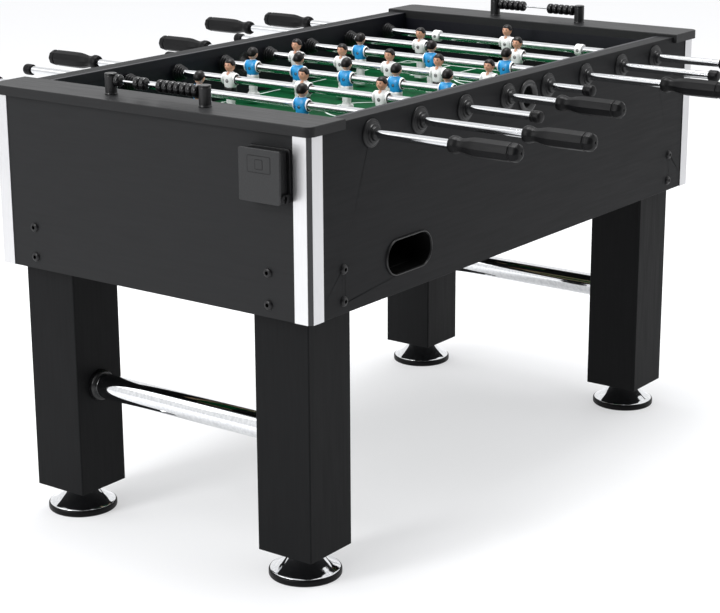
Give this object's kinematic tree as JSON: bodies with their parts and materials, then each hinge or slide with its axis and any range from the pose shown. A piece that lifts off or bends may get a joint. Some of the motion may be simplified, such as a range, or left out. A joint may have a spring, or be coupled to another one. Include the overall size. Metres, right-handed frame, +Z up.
{
  "type": "foosball table",
  "caption": "Free-standing table football game: black cabinet on box legs, chrome rods with men and grips, bead scorers, ball returns and folding drink holders.",
  "frame": {"origin": "on the floor, under the centre of the cabinet", "axes": "+Z up; X along the table between the goals, near end at -X; Y along the rods, front side at -Y"},
  "size_m": [1.454, 1.5034, 0.903],
  "materials": {
    "cabinet_laminate": "black laminate over board, satin, fine vertical texture",
    "board_laminate": "black laminate over board, satin",
    "leg_laminate": "black laminate over board, satin",
    "wall_laminate": "blue-black laminate, semi-gloss",
    "field_surface": "printed green with white lines, semi-gloss",
    "raw_wood": "unfinished",
    "trim_metal": "bright",
    "plated_steel": "polished",
    "plated_foot": "chrome plated, on a black rim",
    "black_metal": "black oxide",
    "black_plastic": "moulded, fine grain",
    "bushing_plastic": "moulded nylon",
    "grip_plastic": "moulded, soft sheen",
    "black_rubber": "matt",
    "bead_plastic": "glossy",
    "blue_men": "painted, blue shirt and white shorts",
    "white_men": "painted, white shirt and black shorts"
  },
  "bodies": {
    "cabinet": {"front_panel": "cabinet_laminate", "back_panel": "cabinet_laminate", "end_panels": "cabinet_laminate", "end_boards": "board_laminate", "corner_trims": "trim_metal", "side_linings": "wall_laminate", "goal_walls": "wall_laminate", "playfield": "field_surface", "field_supports": "raw_wood", "ball_chutes": "black_plastic", "ball_ports": "black_plastic", "legs": "leg_laminate", "leg_bolts": "black_metal", "stretcher_bars": "plated_steel", "rod_bushings": "bushing_plastic", "scorer_frames": "black_plastic", "drink_holder_bases": "black_plastic"},
    "rod_1_turn": {"rod_1_bumpers": "black_rubber"},
    "rod_1": {"rod_1_shaft": "plated_steel", "rod_1_men": "blue_men", "rod_1_ends": "grip_plastic"},
    "rod_2_turn": {"rod_2_bumpers": "black_rubber"},
    "rod_2": {"rod_2_shaft": "plated_steel", "rod_2_men": "blue_men", "rod_2_ends": "grip_plastic"},
    "rod_3_turn": {"rod_3_bumpers": "black_rubber"},
    "rod_3": {"rod_3_shaft": "plated_steel", "rod_3_men": "white_men", "rod_3_ends": "grip_plastic"},
    "rod_4_turn": {"rod_4_bumpers": "black_rubber"},
    "rod_4": {"rod_4_shaft": "plated_steel", "rod_4_men": "blue_men", "rod_4_ends": "grip_plastic"},
    "rod_5_turn": {"rod_5_bumpers": "black_rubber"},
    "rod_5": {"rod_5_shaft": "plated_steel", "rod_5_men": "white_men", "rod_5_ends": "grip_plastic"},
    "rod_6_turn": {"rod_6_bumpers": "black_rubber"},
    "rod_6": {"rod_6_shaft": "plated_steel", "rod_6_men": "blue_men", "rod_6_ends": "grip_plastic"},
    "rod_7_turn": {"rod_7_bumpers": "black_rubber"},
    "rod_7": {"rod_7_shaft": "plated_steel", "rod_7_men": "white_men", "rod_7_ends": "grip_plastic"},
    "rod_8_turn": {"rod_8_bumpers": "black_rubber"},
    "rod_8": {"rod_8_shaft": "plated_steel", "rod_8_men": "white_men", "rod_8_ends": "grip_plastic"},
    "foot_near_front": {"foot_near_front": "plated_foot"},
    "foot_far_front": {"foot_far_front": "plated_foot"},
    "foot_near_back": {"foot_near_back": "plated_foot"},
    "foot_far_back": {"foot_far_back": "plated_foot"},
    "near_beads_back": {"near_beads_back": "bead_plastic"},
    "near_beads_middle": {"near_beads_middle": "bead_plastic"},
    "near_beads_front": {"near_beads_front": "bead_plastic"},
    "far_beads_back": {"far_beads_back": "bead_plastic"},
    "far_beads_front": {"far_beads_front": "bead_plastic"},
    "near_drink_arm": {"near_drink_arm": "black_plastic"},
    "far_drink_arm": {"far_drink_arm": "black_plastic"}
  },
  "joints": [
    {"name": "rod_1_spin", "type": "hinge", "parent": "cabinet", "child": "rod_1_turn", "pos_m": [-0.518, 0, 0.825], "axis": [0, 1, 0], "continuous": true},
    {"name": "rod_1_slide", "type": "slide", "parent": "rod_1_turn", "child": "rod_1", "axis": [0, 1, 0], "range_m": [-0.1257, 0.0937]},
    {"name": "rod_2_spin", "type": "hinge", "parent": "cabinet", "child": "rod_2_turn", "pos_m": [-0.37, 0, 0.825], "axis": [0, 1, 0], "continuous": true},
    {"name": "rod_2_slide", "type": "slide", "parent": "rod_2_turn", "child": "rod_2", "axis": [0, 1, 0], "range_m": [-0.1832, 0.1492]},
    {"name": "rod_3_spin", "type": "hinge", "parent": "cabinet", "child": "rod_3_turn", "pos_m": [-0.222, 0, 0.825], "axis": [0, 1, 0], "continuous": true},
    {"name": "rod_3_slide", "type": "slide", "parent": "rod_3_turn", "child": "rod_3", "axis": [0, 1, 0], "range_m": [-0.1052, 0.1032]},
    {"name": "rod_4_spin", "type": "hinge", "parent": "cabinet", "child": "rod_4_turn", "pos_m": [-0.074, 0, 0.825], "axis": [0, 1, 0], "continuous": true},
    {"name": "rod_4_slide", "type": "slide", "parent": "rod_4_turn", "child": "rod_4", "axis": [0, 1, 0], "range_m": [-0.0539, 0.0399]},
    {"name": "rod_5_spin", "type": "hinge", "parent": "cabinet", "child": "rod_5_turn", "pos_m": [0.074, 0, 0.825], "axis": [0, 1, 0], "continuous": true},
    {"name": "rod_5_slide", "type": "slide", "parent": "rod_5_turn", "child": "rod_5", "axis": [0, 1, 0], "range_m": [-0.0519, 0.0419]},
    {"name": "rod_6_spin", "type": "hinge", "parent": "cabinet", "child": "rod_6_turn", "pos_m": [0.222, 0, 0.825], "axis": [0, 1, 0], "continuous": true},
    {"name": "rod_6_slide", "type": "slide", "parent": "rod_6_turn", "child": "rod_6", "axis": [0, 1, 0], "range_m": [-0.1052, 0.1032]},
    {"name": "rod_7_spin", "type": "hinge", "parent": "cabinet", "child": "rod_7_turn", "pos_m": [0.37, 0, 0.825], "axis": [0, 1, 0], "continuous": true},
    {"name": "rod_7_slide", "type": "slide", "parent": "rod_7_turn", "child": "rod_7", "axis": [0, 1, 0], "range_m": [-0.1702, 0.1622]},
    {"name": "rod_8_spin", "type": "hinge", "parent": "cabinet", "child": "rod_8_turn", "pos_m": [0.518, 0, 0.825], "axis": [0, 1, 0], "continuous": true},
    {"name": "rod_8_slide", "type": "slide", "parent": "rod_8_turn", "child": "rod_8", "axis": [0, 1, 0], "range_m": [-0.1057, 0.1137]},
    {"name": "foot_near_front_level", "type": "slide", "parent": "cabinet", "child": "foot_near_front", "axis": [0, 0, -1], "range_m": [0, 0.012]},
    {"name": "foot_far_front_level", "type": "slide", "parent": "cabinet", "child": "foot_far_front", "axis": [0, 0, -1], "range_m": [0, 0.012]},
    {"name": "foot_near_back_level", "type": "slide", "parent": "cabinet", "child": "foot_near_back", "axis": [0, 0, -1], "range_m": [0, 0.012]},
    {"name": "foot_far_back_level", "type": "slide", "parent": "cabinet", "child": "foot_far_back", "axis": [0, 0, -1], "range_m": [0, 0.012]},
    {"name": "near_beads_back_slide", "type": "slide", "parent": "cabinet", "child": "near_beads_back", "axis": [0, 1, 0], "range_m": [-0.0172, 0]},
    {"name": "near_beads_middle_slide", "type": "slide", "parent": "cabinet", "child": "near_beads_middle", "axis": [0, 1, 0], "range_m": [-0.0137, 0.0172]},
    {"name": "near_beads_front_slide", "type": "slide", "parent": "cabinet", "child": "near_beads_front", "axis": [0, 1, 0], "range_m": [0, 0.0137]},
    {"name": "far_beads_back_slide", "type": "slide", "parent": "cabinet", "child": "far_beads_back", "axis": [0, 1, 0], "range_m": [-0.0308, 0]},
    {"name": "far_beads_front_slide", "type": "slide", "parent": "cabinet", "child": "far_beads_front", "axis": [0, 1, 0], "range_m": [0, 0.0308]},
    {"name": "near_drink_arm_fold", "type": "hinge", "parent": "cabinet", "child": "near_drink_arm", "pos_m": [-0.714, -0.295, 0.737], "axis": [0, -1, 0], "range_deg": [0, 90]},
    {"name": "far_drink_arm_fold", "type": "hinge", "parent": "cabinet", "child": "far_drink_arm", "pos_m": [0.714, 0.295, 0.737], "axis": [0, 1, 0], "range_deg": [0, 90]}
  ]
}
